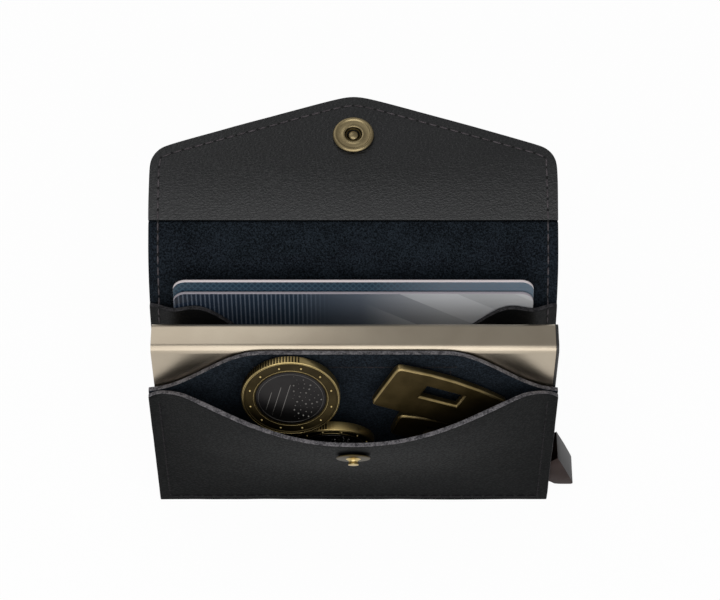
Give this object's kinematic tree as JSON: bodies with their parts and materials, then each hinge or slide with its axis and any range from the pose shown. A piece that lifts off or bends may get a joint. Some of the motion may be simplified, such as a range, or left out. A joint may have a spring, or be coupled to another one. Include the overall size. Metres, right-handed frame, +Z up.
{
  "type": "envelope wallet",
  "caption": "Leather envelope wallet sewn round a metal card case, with a snap flap, a coin pocket in front, a card pocket behind and a push lever that fans the cards out.",
  "frame": {"origin": "under the middle of the card case, on the surface that the wallet stands on", "axes": "+X along the wallet towards the push lever, -Y towards the coin pocket, +Z up from the fold under the case to the open flap"},
  "size_m": [0.1041, 0.0795, 0.0789],
  "materials": {
    "smooth_leather": "charcoal, fine pebble grain, satin",
    "facing_leather": "charcoal, pebble grain, satin",
    "suede": "navy black, napped",
    "champagne_aluminium": "satin anodised",
    "black_plastic": "matt",
    "lever_metal": "satin anodised, rose brown",
    "steel": "bright",
    "antique_brass": "satin, darkened",
    "nickel": "satin",
    "felt": "felt",
    "tape": "clear film",
    "blue_card": "laminated, semi-gloss",
    "silver_card": "laminated, semi-gloss"
  },
  "bodies": {
    "wallet": {"back_panel_and_flap": "smooth_leather", "flap_facing": "facing_leather", "back_lining": "suede", "inner_leather": "suede", "coin_pocket_front": "smooth_leather", "snap_socket": "antique_brass", "snap_spring": "steel", "snap_cap": "antique_brass", "snap_stud": "antique_brass", "stud_washer": "steel", "case_tube": "champagne_aluminium", "case_end_cap": "black_plastic", "card_guide_top": "felt", "card_guide_bottom": "felt", "lever_pin": "steel", "tape_front": "tape", "tape_bottom": "tape", "card_rear": "blue_card", "card_front": "silver_card", "coin_upper_ring": "antique_brass", "coin_upper_core": "nickel", "coin_lower_ring": "antique_brass", "coin_lower_core": "nickel", "key_upper": "antique_brass", "key_lower": "antique_brass"},
    "lever": {"push_lever": "lever_metal"}
  },
  "joints": [
    {"name": "lever_turn", "type": "hinge", "parent": "wallet", "child": "lever", "pos_m": [0.0405, 0, 0.0065], "axis": [0, -1, 0], "range_deg": [0, 30]}
  ]
}
